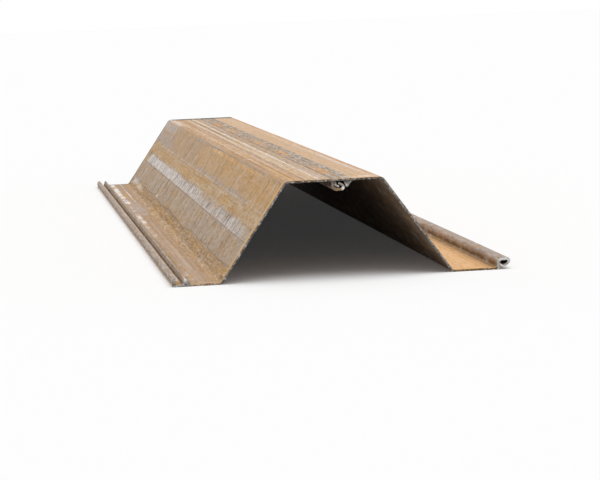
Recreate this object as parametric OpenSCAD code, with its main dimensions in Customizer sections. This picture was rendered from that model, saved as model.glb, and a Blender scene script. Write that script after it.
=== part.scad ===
// Steel sheet pile: two hot-rolled Z piles threaded together, lying crown up on their outer flanges.
// Both piles have one section. The right one is the left one turned end for end, so that
// the thumb and finger along its edge lock into the hook along the edge of the left one.
// X is the width, Y the length and Z the height. The origin is under the middle of the pair.

/* [Pile] */
// Distance between the interlock axes at the two edges of one pile
pitch = 700; // [600:1:800]
// Height of the pile over its two flanges
height = 420; // [300:1:500]
// Thickness of the flanges
flange_t = 9; // [7:0.1:11]
// Thickness of the web
web_t = 9; // [7:0.1:12]
// Slope of the web against the flanges, in degrees
web_angle = 55; // [50:0.5:70]
// Width of the flange with the thumb and finger, from the interlock axis to the bend of the web
finger_flange = 190; // [140:1:230]
// Radius inside the two bends of the web
bend_r = 16; // [6:0.5:30]
// Length of the pile
pile_len = 6000; // [1000:10:12000]

/* [Hook] */
// Width over the outside of the hook
hook_w = 56; // [52:0.5:62]
// Depth of the hook from the outer face of its flange
hook_depth = 50; // [47:0.5:58]
// Thickness of the hook's wall and floor
hook_t = 11; // [9:0.1:12]
// Radius on the outer face of the flange where it turns into the hook
hook_neck_r = 14; // [8:0.5:18]
// Radius in the inside corners of the hook's wall
hook_root_r = 10; // [5:0.5:12]
// Radius outside the hook, at the foot of its wall
hook_heel_r = 19; // [12:0.5:24]
// Thickness of the lip
lip_t = 9; // [7:0.1:10]
// Lean of the lip from upright, in degrees
lip_lean = 52; // [46:1:56]
// How far the lip reaches in from the outside of the hook
lip_reach = 22; // [18:0.5:24]
// Radius inside the hook, where its floor turns up into the lip
lip_root_r = 5; // [3:0.5:6]

/* [Thumb and finger] */
// Thickness of the finger
finger_t = 9.5; // [8:0.1:10.5]
// Radius over the finger where the flange turns into it
finger_neck_r = 10; // [6:0.5:14]
// Radius outside the finger, at its foot
finger_heel_r = 14; // [11:0.5:16]
// Radius inside the finger and beside the thumb
finger_root_r = 4.5; // [2:0.5:6]
// Depth of the thumb from the outer face of its flange
thumb_depth = 35; // [28:0.5:42]
// Width of the thumb at its tip
thumb_tip_w = 8; // [5:0.5:11]
// Width of the thumb at the flange
thumb_root_w = 35; // [28:0.5:44]
// Lean of the thumb's locking face from upright, in degrees
thumb_lean = 16; // [8:1:20]
// Radius of the fillet behind the thumb
thumb_fillet_r = 14; // [6:0.5:20]
// Radius on the corners of the thumb's tip and the lip's edge
tip_r = 2.5; // [1:0.1:3]

/* [Fit] */
// Gap where the finger bears on the wall of the hook
seat_gap = 0.3; // [0.1:0.1:0.9]
// Free play round the finger and the lip
play = 3; // [2:0.1:3.6]
// Free play between the thumb and the hook
thumb_play = 6; // [3:0.1:8]

/* [Hidden] */
// Most that one flat of a rounded corner turns, in degrees
arc_step = 6;
// Flat left between two roundings that run into each other
run_out = 1;
steel = "#9a7d60";

// Run of the web across the width, between its bends on the middle line
web_run = (height - flange_t) / tan(web_angle);
// Step from a bend on the middle line to its corner on either face
bend_step = (web_t - flange_t * cos(web_angle)) / (2 * sin(web_angle));
heel_x = finger_flange;
crown_x = finger_flange + web_run;
heel_r = bend_r + flange_t;

// Interlock: u runs across the width from its axis, and v is the depth below the flanges' outer face
hook_out = hook_w / 2;
wall_in = hook_t - hook_out;
floor_in = hook_depth - hook_t;
lip_across = [-cos(lip_lean), sin(lip_lean)];
lip_tip = [hook_out - lip_reach, flange_t + play];
lip_back = lip_tip + lip_t * lip_across;
lip_foot = lip_tip.y + lip_reach / tan(lip_lean);
toe_r = (hook_depth - lip_foot - run_out) / (1 + tan(lip_lean / 2));
finger_out = wall_in + seat_gap;
finger_in = finger_out + finger_t;
finger_low = floor_in - play;
finger_high = finger_low - finger_t;
finger_end = lip_line(lip_back + play * lip_across, finger_high);
finger_tip_r = (finger_t - run_out) / 2;
// Rounds inside and outside the finger's bend, as far as its straight end leaves room for them
bend_in_r = min(finger_root_r, finger_end - finger_in - finger_tip_r - run_out);
bend_out_r = min(finger_heel_r, finger_end - finger_out - finger_tip_r - run_out);
thumb_near = hook_out + thumb_play - (floor_in - flange_t) * tan(thumb_lean);
thumb_tip = thumb_near + (thumb_depth - flange_t) * tan(thumb_lean);
// Middle of the pair, measured from the axis of the interlock that joins it
mid_x = (finger_out + hook_out) / 2;

// Where a line through a point, leaning as the lip does, is across the width at depth v
function lip_line(point, v) = point.x + (v - point.y) * tan(lip_lean);

function unit(v) = v / norm(v);

function turned(v, angle) = [
    v.x * cos(angle) - v.y * sin(angle),
    v.x * sin(angle) + v.y * cos(angle)
];

// Arc that rounds a corner [x, y, radius] between the corners before and after it
function arc(before, here, after) = let (
    at = [here.x, here.y],
    radius = here.z,
    a = unit([before.x, before.y] - at),
    b = unit([after.x, after.y] - at),
    half = acos(a * b) / 2,
    turn = (2 * half - 180) * sign(a.x * b.y - a.y * b.x),
    centre = at + unit(a + b) * radius / sin(half),
    start = at + a * radius / tan(half) - centre,
    steps = ceil(abs(turn) / arc_step)
) [for (i = [0:steps]) centre + turned(start, turn * i / steps)];

// Outline through a ring of corners [x, y, radius]
function rounded(ring) = let (n = len(ring))
    [for (i = [0:n - 1]) each arc(ring[(i + n - 1) % n], ring[i], ring[(i + 1) % n])];

// Hook from the inner face of its flange round to the outer face, as [u, v, radius]
hook = [
    [-hook_out, flange_t, hook_root_r],
    [-hook_out, hook_depth, hook_heel_r],
    [hook_out, hook_depth, toe_r],
    [hook_out, lip_foot, toe_r],
    [lip_tip.x, lip_tip.y, tip_r],
    [lip_back.x, lip_back.y, tip_r],
    [lip_line(lip_back, floor_in), floor_in, lip_root_r],
    [wall_in, floor_in, hook_root_r],
    [wall_in, 0, hook_neck_r]
];

// Thumb and finger from the inner face of their flange round to the outer face, as [u, v, radius]
thumb_and_finger = [
    [thumb_near + thumb_root_w, flange_t, thumb_fillet_r],
    [thumb_tip + thumb_tip_w, thumb_depth, tip_r],
    [thumb_tip, thumb_depth, tip_r],
    [thumb_near, flange_t, finger_root_r],
    [finger_in, flange_t, finger_root_r],
    [finger_in, finger_high, bend_in_r],
    [finger_end, finger_high, finger_tip_r],
    [finger_end, finger_low, finger_tip_r],
    [finger_out, finger_low, bend_out_r],
    [finger_out, 0, finger_neck_r]
];

// Section of one pile: thumb and finger low on the left, hook high on the right
module section() {
    polygon(rounded(concat(
        thumb_and_finger,
        [[heel_x + bend_step, 0, heel_r]],
        [[crown_x + bend_step, height - flange_t, bend_r]],
        [for (c = hook) [pitch + c.x, height - c.y, c.z]],
        [[crown_x - bend_step, height, heel_r]],
        [[heel_x - bend_step, flange_t, bend_r]]
    )));
}

// One pile, rolled along Y, with the axis of its thumb and finger over X = 0
module pile() {
    color(steel)
        rotate([90, 0, 0])
            linear_extrude(height = pile_len, center = true)
                section();
}

module left_pile() {
    translate([-pitch - mid_x, 0, 0])
        pile();
}

// Turned end for end: its thumb and finger hang from the crown and its hook stands over the floor
module right_pile() {
    translate([-mid_x, 0, height])
        rotate([180, 0, 0])
            pile();
}

left_pile();
right_pile();
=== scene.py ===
import math
import random

import bmesh
import bpy
import numpy as np
from mathutils import Matrix, Vector, noise
from mathutils.geometry import delaunay_2d_cdt


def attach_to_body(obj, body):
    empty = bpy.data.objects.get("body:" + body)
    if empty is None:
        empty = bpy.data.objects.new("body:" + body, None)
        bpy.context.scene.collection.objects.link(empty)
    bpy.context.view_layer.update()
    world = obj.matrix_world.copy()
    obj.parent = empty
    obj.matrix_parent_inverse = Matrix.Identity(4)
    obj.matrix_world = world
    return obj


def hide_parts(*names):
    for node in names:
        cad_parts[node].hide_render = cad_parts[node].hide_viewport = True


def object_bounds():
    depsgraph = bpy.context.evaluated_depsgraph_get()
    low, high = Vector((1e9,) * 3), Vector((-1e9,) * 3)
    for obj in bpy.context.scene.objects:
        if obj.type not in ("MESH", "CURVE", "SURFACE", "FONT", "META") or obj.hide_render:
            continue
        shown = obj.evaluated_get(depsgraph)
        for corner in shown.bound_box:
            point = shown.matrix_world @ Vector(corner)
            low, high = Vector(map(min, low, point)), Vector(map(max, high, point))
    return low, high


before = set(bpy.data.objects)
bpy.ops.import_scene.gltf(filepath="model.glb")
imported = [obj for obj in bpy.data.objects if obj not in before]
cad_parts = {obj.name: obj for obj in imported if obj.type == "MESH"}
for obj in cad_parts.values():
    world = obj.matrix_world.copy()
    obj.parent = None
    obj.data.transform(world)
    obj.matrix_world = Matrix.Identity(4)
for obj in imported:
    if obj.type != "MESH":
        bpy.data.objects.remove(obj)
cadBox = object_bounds()
halfLength = cadBox[1][1]
touching = 1e-5                           # metres: points nearer than this are level
digits = 6                                # decimals that tell two corners of a section apart
tiny = 1e-9                               # metres: less than any real distance here
print("frame loaded, pair is", [round(high - low, 3) for low, high in zip(*cadBox)], "m")


# Camera, floor and light

photoCamera = {
    "sensor": 36.0,                       # mm across
    "lens": 146.72,                       # mm
    "place": (-1.5067, -13.1429, 1.1758),
    "turn": 7.472,                        # degrees to the right of the pair's length
    "tilt": 5.613,                        # degrees down
    "roll": -2.324,
    "farthest": 400.0,                    # metres it can see
}

studio = {
    "floorSide": 240.0,
    "floorDrop": 0.0005,                  # keeps the floor clear of the steel
    "floorWhite": 0.96,
    "floorLift": 0.03,                    # glow for camera and gloss alone, so the bare floor reads white
    "sky": 0.45,                          # sky and lamp together light a level face at about 1
    "lamp": 1.75,
    "lampSoftness": 70,                   # degrees across the lamp
    "lampLean": (6, 10, 0),               # degrees off straight down
}


def placed(name, data):
    # a new object in the scene
    made = bpy.data.objects.new(name, data)
    bpy.context.scene.collection.objects.link(made)
    return made


def addCamera(view):
    lens = bpy.data.cameras.new("photoCamera")
    lens.sensor_width = view["sensor"]
    lens.lens = view["lens"]
    lens.clip_end = view["farthest"]
    camera = placed("photoCamera", lens)
    aim = (Matrix.Rotation(math.radians(-view["turn"]), 4, "Z")
           @ Matrix.Rotation(math.radians(90 - view["tilt"]), 4, "X")
           @ Matrix.Rotation(math.radians(view["roll"]), 4, "Z"))
    camera.matrix_world = Matrix.Translation(view["place"]) @ aim
    bpy.context.scene.camera = camera


# A socket that can be reckoned with: an expression on it adds the nodes
class Wire:
    def __init__(self, tree, socket=None):
        self.tree = tree
        self.socket = socket

    def node(self, kind, settings=None, inputs=None, output=0):
        made = self.tree.nodes.new("ShaderNode" + kind)
        for name, value in (settings or {}).items():
            setattr(made, name, value)
        for name, value in (inputs or {}).items():
            if isinstance(value, Wire):
                self.tree.links.new(value.socket, made.inputs[name])
            else:
                made.inputs[name].default_value = value
        return Wire(self.tree, made.outputs[output] if made.outputs else None)

    def maths(self, operation, *values):
        return self.node("Math", {"operation": operation}, dict(enumerate(values)))

    def __add__(self, other):
        return self.maths("ADD", self, other)

    __radd__ = __add__

    def __sub__(self, other):
        return self.maths("SUBTRACT", self, other)

    def __rsub__(self, other):
        return self.maths("SUBTRACT", other, self)

    def __mul__(self, other):
        return self.maths("MULTIPLY", self, other)

    __rmul__ = __mul__

    def __abs__(self):
        return self.maths("ABSOLUTE", self)

    def atLeast(self, other):
        return self.maths("MAXIMUM", self, other)


def emptied(block):
    # the bare node tree of a material or a world
    block.use_nodes = True
    block.node_tree.nodes.clear()
    return Wire(block.node_tree)


def seenBy(paint, *rays):
    # 1 for these kinds of ray and 0 for the rest
    seen = paint.node("LightPath", output="Is " + rays[0] + " Ray")
    for ray in rays[1:]:
        seen = seen.atLeast(paint.node("LightPath", output="Is " + ray + " Ray"))
    return seen


def addStage(look):
    white = (1, 1, 1, 1)
    world = bpy.data.worlds.new("studioWorld")
    bpy.context.scene.world = world
    paint = emptied(world)
    seen = seenBy(paint, "Camera", "Glossy", "Transmission")
    sky = paint.node("Background", inputs={"Color": white, "Strength": look["sky"]})
    plain = paint.node("Background", inputs={"Color": white, "Strength": 1.0})
    shown = paint.node("MixShader", inputs={0: seen, 1: sky, 2: plain})
    paint.node("OutputWorld", inputs={"Surface": shown})

    half = look["floorSide"] / 2
    corners = [(-half, -half, 0), (half, -half, 0), (half, half, 0), (-half, half, 0)]
    plane = bpy.data.meshes.new("floor")
    plane.from_pydata(corners, [], [(0, 1, 2, 3)])
    floor = placed("floor", plane)
    floor.location.z = cadBox[0][2] - look["floorDrop"]
    coat = bpy.data.materials.new("paleFloor")
    paint = emptied(coat)
    level = look["floorWhite"]
    matt = paint.node("BsdfDiffuse", inputs={"Color": (level, level, level, 1)})
    glow = seenBy(paint, "Camera", "Glossy") * look["floorLift"]
    lift = paint.node("Emission", inputs={"Color": white, "Strength": glow})
    both = paint.node("AddShader", inputs={0: matt, 1: lift})
    paint.node("OutputMaterial", inputs={"Surface": both})
    plane.materials.append(coat)

    lamp = bpy.data.lights.new("softLamp", "SUN")
    lamp.energy = look["lamp"]
    lamp.angle = math.radians(look["lampSoftness"])
    placed("softLamp", lamp).rotation_euler = [math.radians(lean) for lean in look["lampLean"]]


addCamera(photoCamera)
addStage(studio)
bpy.context.scene.view_settings.view_transform = "Standard"
print("camera, floor and light set")


# The rolled steel: each pile's skin is swept again from its own section, fine enough to take
# torch-cut ends, dents and a slight wave, and every point knows its place on the flat sheet.

rolling = {
    "slack": 0.0001,                      # how far the skin may leave the section
    "chord": 0.03,                        # longest flat that may stand for a run of short ones
    "step": 0.011,                        # longest flat across the sheet
    "stride": 0.025,                      # ring spacing along the length
    "endRings": (0.0008, 0.002, 0.004, 0.007, 0.011, 0.017, 0.026, 0.04, 0.06, 0.085),
    "wave": 0.0012,                       # rise and fall of the plate
    "waveLengths": (0.9, 0.35),           # along the length, across the sheet
    "crease": 45,                         # degrees: edges that turn more are shaded sharp
}

# places on the flat sheet, measured across it from the thumb's edge or up from its middle
layout = {
    "bends": (0.2067, 0.7085),            # where the web starts and ends
    "webFrom": (0.045, 0.075),            # past the first bend, where the web's finish starts and is whole
    "webTo": (0.010, -0.020),             # past the second bend, where it stops and is last whole
    "flange": 0.1,                        # a flat longer than this is a flange
    "face": 0.0045,                       # from the middle to either face
    "faceSlack": 0.0012,
    "thumbEdge": 0.085,                   # how much of the sheet the thumb and finger take
    "hookEdge": 0.062,                    # how much the hook takes
    "lockFrom": 0.0052,                   # up from the middle, where the interlock's walls start
    "lockFade": 0.003,
    "thumbTip": (0.0470, 0.0495),
    "fingerSide": (0.036, 0.030),
    "fingerRimWearAndHighlight": (0.0205, 0.006, 0.004),  # middle, width and softness
    "fingerTop": (0.018, 0.024),
    "above": (0.0, 0.003),                # upper side of the sheet, up from the middle: starts, is whole
    "below": (-0.002, -0.0045),           # underside
}

knocks = {
    "count": 34,                          # dents along the edges of one pile
    "long": (0.018, 0.045),
    "wide": (0.006, 0.013),
    "deep": (0.0007, 0.0024),
    "clear": 0.08,                        # none this near to the ends
    "sharp": 0.35,                        # only on corners sharper than this
    "open": 0.55,                         # and less sheltered than this
}

torchCut = {
    "out": 0.0022,                        # how far the cut wanders
    "outPitch": 14,                       # turns in a metre
    "drag": 0.0006,                       # grooves across the thickness
    "dragPitch": 330,
    "fade": 0.06,                         # the rings behind follow the cut this far in
    "slag": 0.0050,                       # beads under the cut
    "slagReach": 0.014,
    "slagTaper": 1.5,
    "slagPitch": (45, 130),               # large and small beads in a metre
    "slagSmall": 0.6,                     # share of the small ones
    "slagFacing": -0.3,                   # only on faces that look down at least this much
    "slagFloor": 0.006,                   # none lower than this
    "slagOpen": 0.5,                      # none where it is more sheltered than this
    "grooveAt": -0.0225,                  # slag also bridges the groove over the interlock, at the far end
    "grooveHalf": 0.016,
    "grooveRound": 0.012,
    "grooveTaper": 0.5,
    "grain": 0.003,                       # spacing of the points on the cut face
    "grainApart": 0.8,                    # nearer than this share of it, one of two is left out
    "grainRows": 2,                       # rows of them inside the outline
}


def inSection(point):
    return round(point.x, digits), round(point.z, digits)


def outlineOf(node):
    # section of a CAD node, as points (x, z) in order round its near end
    mesh = node.data
    nearEnd = min(vertex.co.y for vertex in mesh.vertices)
    following = {}
    for face in mesh.polygons:
        if abs(face.normal.y) > 0.5:      # a cut end
            continue
        corners = [mesh.vertices[index].co for index in face.vertices]
        for here, there in zip(corners, corners[1:] + corners[:1]):
            if max(here.y, there.y) < nearEnd + touching:
                following[inSection(here)] = inSection(there)
    first = min(following)
    ring = [first]
    while following[ring[-1]] != first:
        ring.append(following[ring[-1]])
    return np.array(ring)


def evened(ring):
    # fewer points round the arcs, more along the flats
    count = len(ring)
    kept = [0]
    while kept[-1] < count:
        start = kept[-1]
        reach = start + 1
        while reach < count:
            a = ring[start]
            b = ring[(reach + 1) % count]
            chord = b - a
            size = np.hypot(*chord)
            between = ring[np.arange(start + 1, reach + 1) % count] - a
            off = np.abs(between[:, 0] * chord[1] - between[:, 1] * chord[0]) / max(size, tiny)
            if off.max() > rolling["slack"] or size > rolling["chord"]:
                break
            reach += 1
        kept.append(reach)
    corners = [ring[index % count] for index in kept[:-1]]
    points = []
    for a, b in zip(corners, corners[1:] + corners[:1]):
        steps = max(1, math.ceil(np.hypot(*(b - a)) / rolling["step"]))
        points.extend(a + (b - a) * step / steps for step in range(steps))
    return np.array(points)


def foldLine(ring):
    # middle line of the sheet, from its thumb edge over the two bends to its hook edge
    ahead = np.roll(ring, -1, axis=0)
    run = ahead - ring
    tall = np.ptp(ring[:, 1])
    webs = np.flatnonzero(np.abs(run[:, 1]) > tall / 2)
    levelRuns = np.flatnonzero(np.abs(run[:, 1]) < touching)
    flats = [i for i in levelRuns if abs(run[i, 0]) > layout["flange"]]
    middle = ring[webs].mean(axis=0) / 2 + ahead[webs].mean(axis=0) / 2
    slope = run[webs[0]] / np.hypot(*run[webs[0]])
    lowEdge = ring[:, 1].min()
    thick = sorted(ring[i, 1] for i in flats)[1] - lowEdge
    levels = (lowEdge + thick / 2, lowEdge + tall - thick / 2)
    bends = [middle + slope * (level - middle[1]) / slope[1] for level in levels]
    bends.sort(key=lambda bend: bend[0])
    start = np.array([ring[:, 0].min(), bends[0][1]])
    end = np.array([ring[:, 0].max(), bends[1][1]])
    return [start, *bends, end]


def onSheet(points, fold):
    # distance across the flat sheet from its thumb edge, and height above its middle
    best = np.full(len(points), np.inf)
    across = np.zeros(len(points))
    depth = np.zeros(len(points))
    done = 0.0
    for a, b in zip(fold, fold[1:]):
        size = np.hypot(*(b - a))
        way = (b - a) / size
        along = np.clip((points - a) @ way, 0, size)
        off = points - (a + along[:, None] * way)
        gap = np.hypot(off[:, 0], off[:, 1])
        nearer = gap < best - tiny
        best[nearer] = gap[nearer]
        across[nearer] = done + along[nearer]
        side = off @ np.array([-way[1], way[0]])
        depth[nearer] = np.where(side >= 0, gap, -gap)[nearer]
        done += size
    return across, depth


def outward(ring):
    # unit normals of a closed ring, pointing out of the steel
    run = np.roll(ring, -1, axis=0) - np.roll(ring, 1, axis=0)
    run /= np.hypot(run[:, 0], run[:, 1])[:, None]
    around = np.sum(ring[:, 0] * np.roll(ring[:, 1], -1) - ring[:, 1] * np.roll(ring[:, 0], -1))
    return np.stack([run[:, 1], -run[:, 0]], axis=1) * np.sign(around)


def hollowness(ring, normals, walls, reach=0.06, rays=36, lift=0.0004, least=1e-12):
    # share of the open half circle over each point that steel closes off
    angles = (np.arange(rays) + 0.5) / rays * math.pi - math.pi / 2
    blocked = np.zeros(len(ring))
    weight = np.cos(angles).sum()
    for angle in angles:
        turn = np.array([[math.cos(angle), -math.sin(angle)], [math.sin(angle), math.cos(angle)]])
        way = normals @ turn.T
        start = ring + normals * lift
        hit = np.zeros(len(ring), bool)
        for wall in walls:
            edge = np.roll(wall, -1, axis=0) - wall
            cross = way[:, None, 0] * edge[None, :, 1] - way[:, None, 1] * edge[None, :, 0]
            cross = np.where(np.abs(cross) < least, least, cross)
            gap = wall[None] - start[:, None]
            far = (gap[..., 0] * edge[None, :, 1] - gap[..., 1] * edge[None, :, 0]) / cross
            part = (gap[..., 0] * way[:, None, 1] - gap[..., 1] * way[:, None, 0]) / cross
            hit |= ((far > 0) & (far < reach) & (part >= 0) & (part <= 1)).any(axis=1)
        blocked += hit * math.cos(angle)
    return blocked / weight


def sharpness(ring, normals, window=0.005, tight=80):
    # how far the outline turns outward within a short stretch, 1 on a corner of that many degrees
    sizes = np.hypot(*(np.roll(ring, -1, axis=0) - ring).T)
    place = np.concatenate([[0.0], np.cumsum(sizes)])
    total = place[-1]
    wrapped = np.concatenate([place[:-1] - total, place[:-1], place[:-1] + total])
    turns = np.unwrap(np.arctan2(normals[:, 1], normals[:, 0]))
    whole = 2 * math.pi * np.sign(turns[-1] - turns[0])
    turning = np.concatenate([turns - whole, turns, turns + whole])
    before = np.interp(place[:-1] - window, wrapped, turning)
    after = np.interp(place[:-1] + window, wrapped, turning)
    return np.clip((after - before) * np.sign(whole) / math.radians(tight), 0, 1)


def stations():
    # places of the rings along the length, close together at both ends
    ends = [-halfLength, *(-halfLength + inset for inset in rolling["endRings"])]
    inner = ends[-1]
    steps = math.ceil(-2 * inner / rolling["stride"])
    middle = [inner - 2 * inner * step / steps for step in range(1, steps)]
    return np.array(ends + middle + [-place for place in reversed(ends)])


def ripple(x, y, z, size):
    return noise.noise(Vector((x / size[1], y / size[0], z / size[1])))


def cutBack(x, z, side, seed):
    # how far the torch left the end behind its line
    wide, fine = torchCut["outPitch"], torchCut["dragPitch"]
    fallOff, stepDown, octaves = 0.8, 2.0, 3
    wander = noise.fractal(Vector((x * wide, z * wide, seed + side)), fallOff, stepDown, octaves)
    wander = max(-1, min(1, wander))
    drag = noise.noise(Vector((x * fine, z * fine, seed - side)))
    return torchCut["out"] * (0.5 + 0.5 * wander) + torchCut["drag"] * (0.5 + 0.5 * drag)


def slagDrop(across, side, seed):
    # size of the bead under the cut, from none to about 1
    large, small = (noise.noise(Vector((across * pitch, seed, side))) for pitch in torchCut["slagPitch"])
    return max(0.0, large + torchCut["slagSmall"] * small)


def sectionOf(ring, walls):
    # points round the section, each with what the sweep and the finish ask about it
    points = evened(ring)
    normals = outward(points)
    fold = foldLine(ring)
    across, depth = onSheet(points, fold)
    offMiddle = np.abs(depth)
    height, facing = points[:, 1], normals[:, 1]
    hollow = hollowness(points, normals, walls)
    inLock = (across < layout["thumbEdge"]) | (across > across.max() - layout["hookEdge"])
    takesSlag = (facing < torchCut["slagFacing"]) & (height > torchCut["slagFloor"])
    takesSlag &= (np.abs(offMiddle - layout["face"]) < layout["faceSlack"]) & (hollow < torchCut["slagOpen"])
    inGroove = np.abs(points[:, 0] - torchCut["grooveAt"]) < torchCut["grooveHalf"]
    inGroove &= (facing > 0) & (height > cadBox[1][2] - torchCut["grooveHalf"])
    return {
        "points": points,
        "normals": normals,
        "fold": fold,
        "across": across,
        "depth": depth,
        "hollow": hollow,
        "edge": sharpness(points, normals),
        "lock": np.clip((offMiddle - layout["lockFrom"]) / layout["lockFade"], 0, 1) * inLock,
        "slag": takesSlag,
        "bridge": inGroove * torchCut["grooveRound"] * (1 / np.abs(normals).max(axis=1) - 1),
    }


def dent(verts, rows, section, seed):
    # knocks on the outer corners
    points, normals = section["points"], section["normals"]
    corners = np.flatnonzero((section["edge"] > knocks["sharp"]) & (section["hollow"] < knocks["open"]))
    reach = halfLength - knocks["clear"]
    luck = random.Random(seed)
    for _ in range(knocks["count"]):
        centre = points[luck.choice(list(corners))]
        place = luck.uniform(-reach, reach)
        long, wide, deep = (luck.uniform(*knocks[key]) for key in ("long", "wide", "deep"))
        nearby = np.exp(-np.sum((points - centre) ** 2, axis=1) / wide ** 2)
        push = deep * np.exp(-((rows - place) / long) ** 2)[:, None] * nearby[None]
        verts[:, :, 0] -= push * normals[None, :, 0]
        verts[:, :, 2] -= push * normals[None, :, 1]


def sweep(section, rows, seed):
    # the section carried along the length, with its wave, its ragged ends and its dents
    points, normals = section["points"], section["normals"]
    ragged = {side: np.array([cutBack(x, z, side, seed) for x, z in points]) for side in (-1, 1)}
    slag = {side: np.array([slagDrop(a, side, seed) for a in section["across"]]) * section["slag"]
            for side in (-1, 1)}
    verts = np.zeros((len(rows), len(points), 3))
    for row, y in enumerate(rows):
        side = -1 if y < 0 else 1
        inset = halfLength - abs(y)
        follow = max(0.0, 1 - inset / torchCut["fade"])
        near = max(0.0, 1 - inset / torchCut["slagReach"])
        bead = slag[side] * torchCut["slag"] * near ** torchCut["slagTaper"]
        if side > 0:
            bead = bead + section["bridge"] * near ** torchCut["grooveTaper"]
        verts[row, :, 0] = points[:, 0] + normals[:, 0] * bead
        verts[row, :, 1] = y - side * ragged[side] * follow
        verts[row, :, 2] = points[:, 1] + normals[:, 1] * bead
        for index, (x, z) in enumerate(points):      # the two waves come from different stretches of noise
            verts[row, index, 0] += rolling["wave"] * ripple(x, y, z + 7, rolling["waveLengths"])
            verts[row, index, 2] += rolling["wave"] * ripple(x + 9, y, z, rolling["waveLengths"])
    dent(verts, rows, section, seed)
    return np.clip(verts, *cadBox)


def innerPoints(section):
    # points inside the cut faces, so that the cut can be rough there too
    taken = section["points"]
    apart = torchCut["grain"] * torchCut["grainApart"]
    inner = []
    for step in range(1, torchCut["grainRows"] + 1):
        for point in section["points"] - section["normals"] * torchCut["grain"] * step:
            if np.hypot(*(taken - point).T).min() > apart:
                inner.append(point)
                taken = np.concatenate([taken, [point]])
    return np.array(inner)


def cutTones(pile, across, depth):
    # colours of the cut ends, point by point, and how far the marks cover them and keep the soot off
    tones = np.tile(rgb(steel["soot"]), (len(across), 1))
    markCover = np.zeros(len(across))
    gone = 1.6                            # half sizes from the middle of a mark to where it has faded out
    for start, stop, code in pile["cutTones"]:
        tones[(across >= start) & (across < stop)] = rgb(code)
    for mark in pile["cutMarks"]:
        off = np.hypot((across - mark["at"]) / mark["wide"], (depth - mark["up"]) / mark["high"]) * 2
        cover = np.clip(gone - off, 0, 1) * mark["strength"]
        tones += (rgb(mark["colour"]) - tones) * cover[:, None]
        markCover = np.maximum(markCover, cover)
    return tones, markCover


def attach(mesh, name, kind, part, values):
    mesh.attributes.new(name, kind, "POINT").data.foreach_set(part, values.ravel())


def buildPile(pile, ring, walls):
    section = sectionOf(ring, walls)
    rows = stations()
    count = len(section["points"])
    skin = sweep(section, rows, pile["seed"])
    faces = [(row * count + index, row * count + (index + 1) % count,
              (row + 1) * count + (index + 1) % count, (row + 1) * count + index)
             for row in range(len(rows) - 1) for index in range(count)]

    places = [skin.reshape(-1, 3)]
    sheets = [np.stack([np.tile(section["across"], len(rows)), np.repeat(rows, count),
                        np.tile(section["depth"], len(rows))], axis=1)]
    marks = {name: [np.tile(section[name], len(rows))] for name in ("hollow", "edge", "lock")}
    isEnd = np.zeros((len(rows), count))
    isEnd[[0, -1]] = 1
    marks["cut"] = [isEnd.ravel()]

    inner = innerPoints(section)
    spots = [Vector(point) for point in (*section["points"], *inner)]
    loop = [(index, (index + 1) % count) for index in range(count)]
    insideOnly, weld = 1, 1e-7
    triangles = delaunay_2d_cdt(spots, loop, [], insideOnly, weld)[2]
    triangles = [triangle for triangle in triangles if max(triangle) < len(spots)]
    across, depth = onSheet(inner, section["fold"])
    base = len(rows) * count
    for side, row in ((-1, 0), (1, len(rows) - 1)):
        back = np.array([cutBack(x, z, side, pile["seed"]) for x, z in inner])
        places.append(np.stack([inner[:, 0], side * (halfLength - back), inner[:, 1]], axis=1))
        sheets.append(np.stack([across, np.full(len(inner), side * halfLength), depth], axis=1))
        for name, values in marks.items():
            values.append(np.full(len(inner), 1.0 if name == "cut" else 0.0))
        corners = [*range(row * count, row * count + count), *range(base, base + len(inner))]
        faces.extend(tuple(corners[index] for index in triangle) for triangle in triangles)
        base += len(inner)

    mesh = bpy.data.meshes.new(pile["name"])
    mesh.from_pydata(np.concatenate(places).tolist(), [], faces)
    sheet = np.concatenate(sheets)
    attach(mesh, "sheet", "FLOAT_VECTOR", "vector", sheet)
    for name, values in marks.items():
        attach(mesh, name, "FLOAT", "value", np.concatenate(values))
    tones, markCover = cutTones(pile, sheet[:, 0], sheet[:, 2])
    attach(mesh, "cutTone", "FLOAT_COLOR", "color", tones)
    attach(mesh, "markCover", "FLOAT", "value", markCover)
    mesh.update()
    return placed(pile["name"], mesh)


def finishMesh(piece):
    # all faces the same way out, smooth over the bends and sharp at the cuts
    shell = bmesh.new()
    shell.from_mesh(piece.data)
    bmesh.ops.recalc_face_normals(shell, faces=shell.faces)
    for face in shell.faces:
        face.smooth = True
    for line in shell.edges:
        line.smooth = line.calc_face_angle(0.0) < math.radians(rolling["crease"])
    shell.to_mesh(piece.data)
    shell.free()


# Finish of the steel: thin rust over mill scale, marked by rolling and handling

def rgb(code):
    # a written colour such as b8956b, as the linear numbers of a socket
    parts = [int(code[i:i + 2], 16) / 255 for i in (0, 2, 4)]
    parts = [p / 12.92 if p < 0.04045 else ((p + 0.055) / 1.055) ** 2.4 for p in parts]
    return (*parts, 1.0)


def rise(value, low, high):
    return value.node("MapRange", {"interpolation_type": "SMOOTHSTEP"},
                      {"Value": value, "From Min": low, "From Max": high})


def stripe(value, centre, width, soft):
    return rise(abs(value - centre), width / 2 + soft / 2, width / 2 - soft / 2)


def swing(value, size):
    # noise as a step to either side of nothing
    return (value - 0.5) * size


def grain(place, seed, scale, detail, roughness, shift):
    # noise over the sheet, stretched by scale and moved to a stretch of its own
    moved = seed + shift
    start = (moved, moved * 1.7, moved * 0.6)        # unevenly, so that no two patterns line up
    stretched = place.node("VectorMath", {"operation": "MULTIPLY"}, {0: place, 1: scale})
    there = place.node("VectorMath", {"operation": "ADD"}, {0: stretched, 1: start})
    return place.node("TexNoise", inputs={
        "Vector": there, "Scale": 1.0, "Detail": detail, "Roughness": roughness})


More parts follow.
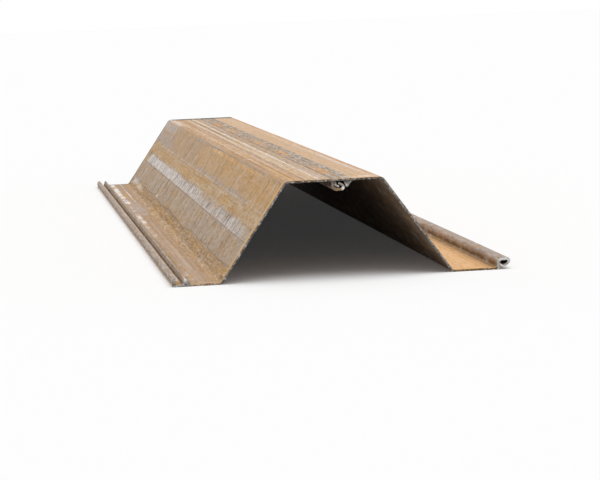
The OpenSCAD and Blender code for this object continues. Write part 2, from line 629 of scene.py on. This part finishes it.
def over(under, colour, mask):
    return mask.node("Mix", {"data_type": "RGBA"}, {0: mask, 6: under, 7: colour}, output=2)


def blend(under, value, mask):
    return mask.node("Mix", {"data_type": "FLOAT"}, {0: mask, 2: under, 3: value})


def band(colour, at, wide, strength, pattern="mottle", contrast=0.4,
         start=-halfLength, stop=halfLength, fray=1.0, sway=0.0, gaps=0.0):
    # a stripe along the sheet: its place and width across it in metres, and where it starts and stops;
    # fray roughens its sides, sway lets it wander by metres, gaps break it up along its length
    return dict(colour=colour, at=at, wide=wide, strength=strength, pattern=pattern, contrast=contrast,
                start=start, stop=stop, fray=fray, sway=sway, gaps=gaps)


def spot(colour, at, wide, along, long, strength):
    # a mark at one place: across the sheet and along it, in metres
    return dict(colour=colour, at=at, wide=wide, along=along, long=long, strength=strength)


def cutMark(colour, at, wide, up, high, strength):
    # a mark on the cut ends: across the sheet, and up or down from its middle, in metres
    return dict(colour=colour, at=at, wide=wide, up=up, high=high, strength=strength)


steel = {
    "tan": "bda184",
    "rust": "c6a173",
    "scale": "ae9b88",
    "gold": "c69650",
    "lilac": "b0a092",
    "brown": "74583c",
    "fresh": "ddae6a",
    "dark": "2f241b",
    "soot": "28231f",
    "pale": "d8cdc4",
    "wearAndHighlight": "dcc6b4",
    "bright": "dcdad7",
    # the underside's colour: darker scale, partly painted shade
    "under": "6d5640",
}

leftPile = {
    "name": "leftPile",
    "node": "left_pile",
    "slot": "left_steel",
    "seed": 3.0,
    # stretches across the sheet where the flecks are fainter or bolder, and how strong they are there
    "flecks": [(0.105, 0.175, 0.45), (0.185, 0.275, 1.40), (0.545, 0.690, 0.75)],
    # the left walls are painted paler than the steel: painted light against the shade in the slot
    "lock": {"wall": "cbbbb0", "tip": "9c8770", "finger": "a8998d", "foot": "57422c"},
    "foot": (0.018, 0.010),               # where the foot of the lock's walls starts and is whole
    "scorch": (0.840, 0.240),             # middle and width of the burnt far end
    "bands": [
        # floor flange
        band("a98c71", 0.115, 0.150, 0.90, "lines", 0.5),
        band("b1a196", 0.108, 0.110, 0.75, "mottle", 0.5, start=0.5, stop=1.45, fray=3.0),
        band("a07c4a", 0.176, 0.036, 0.55, "smear", 0.8, stop=0.6, fray=2.0, gaps=0.6),
        # lower bend
        band("b5946c", 0.230, 0.085, 0.90, "smear", 0.75, fray=1.4, sway=0.03),
        band("cc9c52", 0.240, 0.034, 0.55, "lines", 0.7, fray=2.0, sway=0.03, gaps=0.9),
        # bare scale low on the web
        band("b8a592", 0.338, 0.132, 0.95, "runs", 0.8),
        band("c2ae9c", 0.340, 0.120, 0.50, "runs", 0.8, start=0.8, fray=2.0),
        band("b99463", 0.336, 0.128, 0.30, "runs", 0.7, fray=3.0, gaps=0.95),
        band("bd9a70", 0.300, 0.050, 0.45, "mottle", 0.5, start=-1.0, stop=0.5, fray=4.0, gaps=0.7),
        band("7d6547", 0.271, 0.006, 0.80, fray=0.7, sway=0.02, gaps=0.5),
        # pale scuffed band
        band("d2c9c4", 0.434, 0.062, 0.95, "hatch", 1.4,
             start=-2.75, stop=2.72, fray=1.6, sway=0.012, gaps=0.3),
        band("b9a999", 0.430, 0.050, 0.75, "hatch", 0.6, stop=-2.70, fray=2.5),
        band("e3dcd8", 0.434, 0.054, 0.65, "hatch", 1.5, start=-0.6, stop=1.0, fray=1.8),
        band("e5deda", 0.434, 0.054, 0.80, "hatch", 1.1, start=0.9, stop=2.70, fray=1.6),
        band("c6ae96", 0.460, 0.026, 0.95, "mottle", 0.5, start=-1.65, stop=-0.70, fray=2.4),
        band("cbbcb1", 0.428, 0.036, 0.60, "hatch", 1.0, start=-1.45, stop=-0.80, fray=3.0),
        band("9a8b7f", 0.444, 0.010, 0.65, "hatch", 0.8, start=-2.7, stop=1.1, fray=5.0, gaps=0.8),
        band("857263", 0.462, 0.006, 0.70, "smear", 0.8, start=-2.7, fray=1.8, sway=0.012, gaps=0.9),
        band("6f5d4c", 0.402, 0.005, 0.75, fray=0.4, gaps=0.4),
        band("d8d0ca", 0.4075, 0.005, 0.70, fray=0.4, gaps=0.6),
        # rust above it
        band("c5a780", 0.500, 0.064, 0.90, "cloud", 0.6, fray=1.4),
        band("d0a05a", 0.497, 0.030, 0.65, "smear", 0.6, fray=4.0, gaps=0.8),
        band("8e7048", 0.516, 0.005, 0.50, fray=0.8, gaps=0.8),
        band("cba26b", 0.528, 0.010, 0.70, "smear", 0.5, fray=0.8, gaps=0.4),
        band("cfc5c0", 0.5435, 0.006, 0.85, "mottle", 0.5, fray=0.35, gaps=0.8),
        band("b29f92", 0.566, 0.046, 0.65, "runs", 0.4, start=-1.4, stop=1.9, fray=2.5, gaps=0.5),
        band("c6a072", 0.625, 0.120, 0.80, "runs", 0.7, stop=0.3, fray=3.0),
        band("bb9a78", 0.615, 0.130, 0.80, "runs", 0.7, start=0.3, fray=3.0),
        band("cd9c5c", 0.640, 0.060, 0.35, "smear", 0.9, stop=-0.2, fray=4.0, gaps=0.9),
        band("b8a89f", 0.590, 0.070, 0.85, "hatch", 0.4, start=1.95, fray=3.0),
        band("c3b8b1", 0.670, 0.050, 0.80, "hatch", 0.5, start=2.15, fray=4.0),
        band("e2b06e", 0.681, 0.015, 0.90, "mottle", 0.7, start=-2.2, stop=-0.1, gaps=0.3),
        band("8a6b49", 0.697, 0.005, 0.70, stop=1.7, fray=0.5, gaps=0.7),
        # upper bend and crown
        band("c09264", 0.720, 0.034, 0.85, "lines", 1.35),
        band("c9985f", 0.753, 0.022, 0.85, "lines", 0.8),
        band("b68d62", 0.783, 0.032, 0.85, "lines", 1.2),
        band("cfae88", 0.822, 0.044, 0.85, "lines", 1.3),
        band("dfb271", 0.739, 0.009, 0.65, "lines", 0.6, stop=0.7, fray=0.6, gaps=0.4),
        band("c9b2ab", 0.771, 0.007, 0.55, "lines", 0.6, fray=0.6, gaps=0.9),
        band("e0bf85", 0.833, 0.011, 0.65, "lines", 0.6, stop=0.5, fray=0.6, gaps=0.5),
        band("d8c2bb", 0.806, 0.007, 0.55, "lines", 0.6, fray=0.6, gaps=0.9),
        band("ebdcd3", 0.8545, 0.015, 0.95, "mottle", 0.6, fray=0.5, gaps=0.2),
        band("b6997c", 0.884, 0.036, 0.90, "lines", 1.0),
        band("998b7e", 0.913, 0.022, 0.90, "smear", 0.9, fray=1.2, gaps=0.3),
        band("e8dcd2", 0.722, 0.034, 0.80, "mottle", 0.5, start=2.1, fray=2.0),
        # scuffs beside the thumb
        band("8c6e52", 0.0825, 0.007, 0.60, "smear", 0.5, fray=0.3, gaps=0.3),
        band("e2d8d0", 0.094, 0.026, 0.80, "hatch", 1.2, start=1.3, fray=1.0, gaps=0.6),
        band("cdbcae", 0.092, 0.020, 0.70, "hatch", 0.8, start=-0.8, stop=1.0, fray=1.0, gaps=0.7),
        band("eee5de", 0.147, 0.007, 0.90, "mottle", 0.5, start=1.5, fray=0.6, sway=0.006, gaps=0.5),
    ],
    "spots": [
        spot("f1e1c8", 0.283, 0.016, 1.07, 0.07, 1.0),
        spot("65503c", 0.378, 0.054, 0.96, 0.06, 0.7),
        spot("6b5844", 0.388, 0.026, -1.80, 0.03, 0.8),
        spot("715e4a", 0.315, 0.080, -2.37, 0.02, 0.7),
        spot("d6ccc2", 0.345, 0.110, -0.46, 0.07, 0.6),
        spot("cfc5bb", 0.360, 0.070, -0.30, 0.03, 0.5),
        spot("ece2da", 0.437, 0.060, -2.27, 0.06, 0.8),
        spot("e4dad3", 0.425, 0.040, -2.72, 0.06, 0.7),
        spot("7f6b58", 0.437, 0.060, -2.14, 0.05, 0.7),
        # painted highlight on the lower bend near the far end
        spot("f6e2cd", 0.250, 0.030, 2.28, 0.40, 1.0),
        spot("eeedec", 0.256, 0.036, 2.70, 0.34, 1.0),
        spot("4a3c2f", 0.457, 0.040, 2.78, 0.10, 0.8),
        spot("d9c9bd", 0.093, 0.026, -2.62, 0.16, 0.7),
        # dashes beside the thumb
        spot("e6dad0", 0.097, 0.024, -0.74, 0.07, 0.7),
        spot("e6dad0", 0.096, 0.020, -0.26, 0.10, 0.7),
        spot("f7f2ee", 0.097, 0.026, 0.06, 0.16, 1.0),
        spot("f7f2ee", 0.096, 0.024, 0.37, 0.22, 1.0),
        spot("eae0d8", 0.098, 0.024, 0.85, 0.08, 0.8),
        spot("fdfbf9", 0.100, 0.034, 1.44, 0.16, 1.0),
        spot("fdfbf9", 0.094, 0.026, 1.62, 0.10, 1.0),
        spot("fdfbf9", 0.098, 0.030, 1.86, 0.13, 1.0),
        spot("fdfbf9", 0.094, 0.024, 2.12, 0.20, 1.0),
        spot("fdfbf9", 0.094, 0.030, 2.48, 0.36, 1.0),
        spot("fdfbf9", 0.093, 0.026, 2.86, 0.18, 1.0),
        spot("c69a55", 0.124, 0.026, 2.02, 0.24, 0.7),
    ],
    "cutTones": [(-0.1, 0.078, "8f8b87"), (0.078, 0.200, "b1957a"), (0.200, 0.708, "877e73"),
                 (0.708, 0.900, "76644d"), (0.900, 1.1, "8f8376")],
    "cutMarks": [
        # the near-white marks on the thumb and on the hook's toe are painted glints
        cutMark("f2f1ef", 0.056, 0.016, 0.026, 0.012, 0.95),      # thumb
        cutMark("e9e7e4", 0.020, 0.012, 0.026, 0.020, 0.90),      # finger
        cutMark("c9c4bd", 0.030, 0.040, 0.000, 0.008, 0.70),
        # the hook's floor: rust, darkened as painted shade
        cutMark("93703f", 0.928, 0.040, -0.040, 0.014, 0.85),     # hook
        cutMark("f0efec", 0.952, 0.012, -0.036, 0.016, 0.95),
        cutMark("5d4a36", 0.912, 0.018, -0.022, 0.036, 0.75),
    ],
}

rightPile = {
    "name": "rightPile",
    "node": "right_pile",
    "slot": "right_steel",
    "seed": 8.0,
    "flecks": [(0.075, 0.370, 0.45), (0.730, 0.890, 0.45)],
    "lock": {"wall": "a4948a", "tip": "a4948a", "finger": "a4948a", "foot": "705429"},
    "foot": (0.030, 0.015),
    "scorch": (0.080, 0.240),
    "bands": [
        # crown
        band("d3b18f", 0.140, 0.130, 0.92, "lines", 0.3),
        band("988b7d", 0.043, 0.074, 0.95, "smear", 1.65, fray=1.2),
        band("a4876a", 0.026, 0.034, 0.80, "smear", 1.1, gaps=0.5),
        band("857b70", 0.004, 0.014, 0.80, "smear", 0.9, fray=1.0, gaps=0.8),
        band("c3bfbd", 0.005, 0.008, 0.65, "smear", 0.9, fray=2.0, gaps=1.0),
        band("e9dfda", 0.170, 0.011, 0.80, "smear", 0.8, start=-2.7, stop=0.8, fray=1.2, gaps=0.9),
        band("c4844f", 0.197, 0.013, 0.85, "mottle", 0.5, fray=0.7, gaps=0.3),
        # web
        band("c5a47c", 0.280, 0.110, 0.75, "runs", 0.5, fray=3.0),
        band("cdc3bd", 0.372, 0.009, 0.75, "mottle", 0.5, fray=0.8, gaps=0.9),
        band("c4a67f", 0.420, 0.070, 0.85, "smear", 0.55, fray=1.6),
        band("c6bbb4", 0.482, 0.058, 0.90, "hatch", 0.75, fray=1.8, sway=0.015, gaps=0.7),
        band("6f5d4c", 0.514, 0.005, 0.75, fray=0.4, gaps=0.4),
        band("b29f8d", 0.580, 0.128, 0.95, "runs", 0.75),
        band("b5946c", 0.686, 0.085, 0.90, "smear", 0.75, fray=1.4, sway=0.03),
        # floor flange
        band("e8b67e", 0.800, 0.165, 0.92, "lines", 0.2),
        # browner towards the hook: rust, partly painted shade beside its wall
        band("c2935a", 0.868, 0.066, 0.45, "lines", 0.5, fray=2.5),
        band("a97c46", 0.880, 0.036, 0.50, "lines", 0.5, fray=1.6),
        band("7a5a34", 0.890, 0.014, 0.80, "mottle", 0.5, fray=0.5),
    ],
    "spots": [
        *(spot("d6994e", 0.0245, 0.040, along, 0.46, 0.75) for along in (-2.46, -1.1, -0.18, 1.22, 2.05)),
        # a painted highlight on the crown near the near end
        spot("f3dcc4", 0.125, 0.130, -2.91, 0.10, 0.7),
    ],
    "cutTones": [(-0.1, 0.080, "8d8377"), (0.080, 0.208, "6d5e4d"), (0.208, 0.700, "8b857e"),
                 (0.700, 0.900, "8a6a3c"), (0.900, 1.1, "bdbab5")],
    "cutMarks": [
        cutMark("d8d5d0", 0.030, 0.020, -0.028, 0.014, 0.80),     # finger
        cutMark("c2bcb4", 0.058, 0.014, -0.026, 0.014, 0.60),     # thumb
        cutMark("e9e8e6", 0.930, 0.040, 0.040, 0.012, 0.85),      # hook
        cutMark("dcdad7", 0.952, 0.012, 0.030, 0.016, 0.80),
        cutMark("8f8b86", 0.912, 0.014, 0.018, 0.016, 0.60),
    ],
}


# noise over the sheet: how fine across, along and through it, then detail, roughness and its own shift
patterns = {
    "drift": ((3.5, 1.0, 20), 5, 0.60, 0),       # broad clouds of rust
    "mottle": ((17, 10, 20), 7, 0.70, 4),
    "pits": ((60, 30, 60), 6, 0.70, 6),          # pits and flecks
    "drawnPits": ((105, 10, 60), 5, 0.70, 11),   # the same, drawn out on the flats
    "patch": ((9, 1.7, 20), 3, 0.60, 7),
    "sway": ((4, 0.8, 0), 3, 0.55, 8),
    "longRuns": ((6, 13, 20), 5, 0.66, 1),       # streaks down the sheet, long and short
    "shortRuns": ((11, 40, 20), 4, 0.66, 2),
    "lines": ((115, 0.3, 20), 4, 0.68, 3),       # streaks along it, from the rolls
    "hatch": ((8, 25, 20), 5, 0.70, 5),          # short scratches
    "smear": ((80, 9, 20), 6, 0.72, 10),         # short smears along it
    "cloud": ((24, 3.4, 20), 6, 0.66, 12),       # soft clouds along it
    "torn": ((90, 1, 120), 4, 0.70, 9),          # the cut itself
}

# layers of the finish: where the pattern of each starts and is whole, and how strong it is
layers = {
    "rust": (0.42, 0.60, 1.00),
    "scale": (0.48, 0.34, 0.80),
    "gold": (0.50, 0.62, 0.55),
    "lilac": (0.50, 0.34, 0.32),
    "streaks": (0.52, 0.62, 0.24),
    "flecks": (0.52, 0.66, 0.65),
    "paleFlecks": (0.47, 0.33, 0.50),
    "clouds": (0.54, 0.70, 0.45),
    "grimeAndShade": (0.72, 0.95, 0.60),
    "deepGrimeAndShade": (0.84, 1.00, 0.90),
    "worn": (0.50, 0.30, 0.50),
    "cutSoot": (0.50, 0.38, 0.95),
    "cutBright": (0.54, 0.66, 0.75),
}

shading = {
    "pale": (0.49, 0.34),                 # where a pattern starts to pale the steel and does so fully
    "dark": (0.51, 0.66),                 # and to darken it
    "palest": 0.42,
    "darkest": 0.58,
    "sheet": 0.5,                         # contrast of the bare sheet
    "lock": 0.55,                         # and of the interlock's walls
    "lockFoot": 0.008,                    # raggedness of the foot of those walls, in metres
    "lockUpper": 0.9,                     # strength of their colours above, and of the painted shade on them below
    "lockUnderShade": 0.8,
    "under": 0.9,                         # strength of the dark underside: darker scale, partly painted shade
    "underFlecks": 0.7,                   # how much fainter the pale flecks are there
    "stir": {"scale": 0.6, "lilac": 0.4, "clouds": 0.6},   # how far a second pattern breaks up a layer
    "longRuns": 0.55,                     # shares of the long and short streaks
    "shortRuns": 0.45,
}

brush = {
    "fringe": (0.024, 0.014),             # how far mottle and streaks fray the sides of a band, in metres
    "sway": 4,
    "soft": (0.010, 0.8),                 # softness of its sides: at most, and as a share of its width
    "ragged": 0.7,                        # raggedness of its ends, in metres
    "endFade": 0.12,
    "gaps": (0.56, 0.42),                 # where the patches start to break it and do so fully
    "fleckSoft": 0.04,
    "spotSoft": 0.6,                      # softness and raggedness of a spot, as shares of its size
    "spotRagged": 2,
    "spotThin": 0.6,                      # strength of a spot between its scratches
    "spotHatch": (0.40, 0.55),
    "spotCalm": 0.7,                      # how far it hides the pattern under it
}

rubbing = {
    "from": (0.44, 0.60),                 # where the mottle lets the corners be rubbed pale
    "inLock": 0.15,                       # strength at the thumb and finger
    "more": 0.45,                         # what is added past them
    "moreFrom": (0.06, 0.09),
    "rim": 0.9,                           # strength along the finger's rim
}

# the steel beside the torch cuts; the pairs of lengths are metres in from the end: starts, is whole
cutEnds = {
    "rust": (0.055, 0.031),               # fresh rust at the near end
    "rustRagged": 0.07,
    "rustShort": 0.025,                   # how much less far it reaches on the flats
    "rustStrength": 0.90,
    "rustFlats": 0.20,                    # how much weaker it is there
    "rustOpen": (0.55, 0.35),             # none in the hollows
    "burn": (0.060, 0.015),               # burn at the far end
    "burnRagged": 0.06,
    "burnPatch": (0.40, 0.60),
    "burnStrength": (0.35, 0.5),          # everywhere, and what the patches add
    "scorch": (0.18, 0.07),               # scorch on the crown there
    "scorchRagged": 0.08,
    "scorchSoft": 0.02,
    "scorchStrength": 0.92,
    "rimFrom": (-0.0012, -0.0042),        # soot along the lower rim of the cut, up from the sheet's middle
    "rimTo": (-0.012, -0.008),
    "rimStrength": 0.8,
}

surface = {
    "roughness": 0.80,
    "wornEdge": 0.4,                      # how worn the corners are
    "wornPolish": 0.25,                   # how much smoother worn steel is
    "cutPolish": 0.15,                    # and the cut
    "specular": 0.4,
    "bump": 0.6,
    "bumpDepth": 0.0015,
    "relief": {"grit": 0.8, "lines": 0.25, "runs": 0.35, "mottle": 0.5},
}


def share(name, value):
    # how much of a layer its pattern lets through
    start, whole, strength = layers[name]
    return rise(value, start, whole) * strength


def fromEnd(name):
    # where a finish beside the cut starts and is whole along the length
    return [halfLength - far for far in cutEnds[name]]


def steelFinish(pile):
    coat = bpy.data.materials.new(pile["slot"])
    paint = emptied(coat)
    sheet = paint.node("Attribute", {"attribute_name": "sheet"}, output="Vector")
    across, along, depth = (paint.node("SeparateXYZ", inputs={0: sheet}, output=axis) for axis in "XYZ")
    hollow, edge, cut, lock = (paint.node("Attribute", {"attribute_name": name}, output="Fac")
                               for name in ("hollow", "edge", "cut", "lock"))
    tone = {name: rgb(code) for name, code in steel.items()}

    def field(name):
        return grain(sheet, pile["seed"], *patterns[name])

    drift = field("drift")
    mottle = field("mottle")
    lowBend, highBend = layout["bends"]
    flat = 1 - (rise(across, *(lowBend + past for past in layout["webFrom"]))
                * rise(across, *(highBend + past for past in layout["webTo"])))
    grit = blend(field("pits"), field("drawnPits"), flat)
    flecks = 1.0
    for start, stop, strength in pile["flecks"]:
        stretch = stripe(across, (start + stop) / 2, stop - start, brush["fleckSoft"])
        flecks = flecks + stretch * (strength - 1)
    patch = field("patch")
    sway = field("sway")
    runs = field("longRuns") * shading["longRuns"]
    runs = runs + field("shortRuns") * shading["shortRuns"]
    lines, hatch, smear, cloud = (field(name) for name in ("lines", "hatch", "smear", "cloud"))
    fields = {"mottle": mottle, "runs": runs, "lines": lines, "hatch": hatch, "smear": smear, "cloud": cloud}
    tones = {name: rise(value, *shading["pale"]) - rise(value, *shading["dark"])
             for name, value in fields.items()}

    # colour is what lies on top, shade how much paler or darker its pattern makes it
    colour = over(tone["tan"], tone["rust"], share("rust", drift))
    shade = tones["mottle"] * shading["sheet"]
    scale = share("scale", drift + swing(runs, shading["stir"]["scale"]))
    colour = over(colour, tone["scale"], scale)
    shade = blend(shade, tones["runs"] * shading["sheet"], scale)
    # darker on the underside: darker scale, partly painted shade
    below = rise(depth, *layout["below"])
    colour = over(colour, tone["under"], below * shading["under"])
    walls = {name: rgb(code) for name, code in pile["lock"].items()}
    wall = over(walls["wall"], walls["tip"], rise(across, *layout["thumbTip"]))
    wall = over(wall, walls["finger"], rise(across, *layout["fingerSide"]))
    # darker towards the foot of the walls: rust, partly painted shade where they meet the sheet
    wall = over(wall, walls["foot"], rise(depth + swing(mottle, shading["lockFoot"]), *pile["foot"]))
    colour = over(colour, wall, lock * (1 - below) * shading["lockUpper"])
    # painted shade: the interlock's underside darkened
    colour = over(colour, tone["dark"], lock * below * shading["lockUnderShade"])
    shade = blend(shade, tones["smear"] * shading["lock"], lock)

    upper = rise(depth, *layout["above"]) * (1 - lock)
    fringe = swing(mottle, brush["fringe"][0]) + swing(runs, brush["fringe"][1])
    reach = along + swing(mottle, brush["ragged"])
    softest, softShare = brush["soft"]
    fade = brush["endFade"]
    for stroke in pile["bands"]:
        place = across + fringe * stroke["fray"]
        if stroke["sway"]:
            place = place + swing(sway, stroke["sway"] * brush["sway"])
        mask = stripe(place, stroke["at"], stroke["wide"], min(softest, stroke["wide"] * softShare)) * upper
        if stroke["start"] > -halfLength:
            mask = mask * rise(reach, stroke["start"] - fade, stroke["start"] + fade)
        if stroke["stop"] < halfLength:
            mask = mask * rise(reach, stroke["stop"] + fade, stroke["stop"] - fade)
        if stroke["gaps"]:
            mask = mask * (1 - rise(patch, *brush["gaps"]) * stroke["gaps"])
        mask = mask * stroke["strength"]
        colour = over(colour, rgb(stroke["colour"]), mask)
        shade = blend(shade, tones[stroke["pattern"]] * stroke["contrast"], mask)
    thin = brush["spotThin"]
    for dab in pile["spots"]:
        mask = stripe(across + fringe, dab["at"], dab["wide"], dab["wide"] * brush["spotSoft"]) * upper
        ragged = along + swing(mottle, dab["long"] * brush["spotRagged"])
        mask = mask * stripe(ragged, dab["along"], dab["long"], dab["long"] * brush["spotSoft"])
        mask = mask * (thin + (1 - thin) * rise(hatch, *brush["spotHatch"])) * dab["strength"]
        colour = over(colour, rgb(dab["colour"]), mask)
        shade = shade * (1 - mask * brush["spotCalm"])
    colour = over(colour, rgb("000000"), (shade * -shading["darkest"]).atLeast(0))
    colour = over(colour, rgb("ffffff"), (shade * shading["palest"]).atLeast(0))

    hue = smear * 0.5 + runs * 0.5
    colour = over(colour, tone["gold"], share("gold", hue) * upper)
    colour = over(colour, tone["lilac"], share("lilac", hue + swing(cloud, shading["stir"]["lilac"])) * upper)
    colour = over(colour, tone["brown"], share("streaks", runs) * upper * (1 - flat))
    colour = over(colour, tone["brown"], share("flecks", grit) * flecks)
    paleFlecks = share("paleFlecks", grit) * flecks * (1 - below * shading["underFlecks"])
    colour = over(colour, tone["pale"], paleFlecks)
    colour = over(colour, tone["gold"], share("clouds", cloud + swing(grit, shading["stir"]["clouds"])))

    # darker and browner in the hollows: partly grime, partly painted shade where the slots and the hook's
    # inside lie in shadow
    colour = over(colour, tone["brown"], share("grimeAndShade", hollow))
    colour = over(colour, tone["dark"], share("deepGrimeAndShade", hollow))
    rubbed = rubbing["inLock"] + rise(across, *rubbing["moreFrom"]) * rubbing["more"]
    rubbed = rise(mottle, *rubbing["from"]) * rubbed
    # paler on worn corners; along the finger's rim a worn line that is also a painted highlight
    rim = stripe(across, *layout["fingerRimWearAndHighlight"]) * rise(depth, *layout["fingerTop"])
    colour = over(colour, tone["wearAndHighlight"], edge * (rubbed + rim * rubbing["rim"]))

    # torch-cut ends: rusted or scorched beside the cut, burnt on it, with marks on it, some of them painted
    # glints
    near = swing(mottle, cutEnds["rustRagged"]) - along - flat * cutEnds["rustShort"]
    fresh = rise(near, *fromEnd("rust")) * upper * (cutEnds["rustStrength"] - flat * cutEnds["rustFlats"])
    colour = over(colour, tone["fresh"], fresh * rise(hollow, *cutEnds["rustOpen"]))
    burn = rise(along + swing(mottle, cutEnds["burnRagged"]), *fromEnd("burn")) * upper
    evenly, patchy = cutEnds["burnStrength"]
    colour = over(colour, tone["dark"], burn * (evenly + rise(patch, *cutEnds["burnPatch"]) * patchy))
    scorch = rise(along + swing(mottle, cutEnds["scorchRagged"]), *fromEnd("scorch"))
    scorch = scorch * stripe(across, *pile["scorch"], cutEnds["scorchSoft"]) * upper
    colour = over(colour, tone["soot"], scorch * cutEnds["scorchStrength"])
    torn = field("torn")
    burnt = 1 - paint.node("Attribute", {"attribute_name": "markCover"}, output="Fac")
    cutColour = paint.node("Attribute", {"attribute_name": "cutTone"}, output="Color")
    rim = rise(depth, *cutEnds["rimFrom"]) * rise(depth, *cutEnds["rimTo"])
    cutColour = over(cutColour, tone["soot"], rim * cutEnds["rimStrength"])
    cutColour = over(cutColour, tone["soot"], share("cutSoot", torn) * burnt)
    cutColour = over(cutColour, tone["bright"], share("cutBright", torn))
    colour = over(colour, cutColour, cut)

    worn = share("worn", runs) + edge * surface["wornEdge"]
    rough = surface["roughness"] - worn * surface["wornPolish"] - cut * surface["cutPolish"]
    height = surface["relief"]
    relief = grit * height["grit"] + lines * height["lines"]
    relief = relief + runs * height["runs"] + mottle * height["mottle"]
    bump = paint.node("Bump", inputs={
        "Strength": surface["bump"], "Distance": surface["bumpDepth"], "Height": relief})
    shader = paint.node("BsdfPrincipled", inputs={
        "Base Color": colour, "Roughness": rough, "Normal": bump, "Specular IOR Level": surface["specular"]})
    paint.node("OutputMaterial", inputs={"Surface": shader})
    return coat


outlines = {name: outlineOf(node) for name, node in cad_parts.items()}
for pile in (leftPile, rightPile):
    piece = buildPile(pile, outlines[pile["node"]], list(outlines.values()))
    finishMesh(piece)
    piece.data.materials.append(steelFinish(pile))
    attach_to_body(piece, "root")
    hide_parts(pile["node"])
    print(pile["name"], "made,", sum(len(face.vertices) - 2 for face in piece.data.polygons), "triangles")
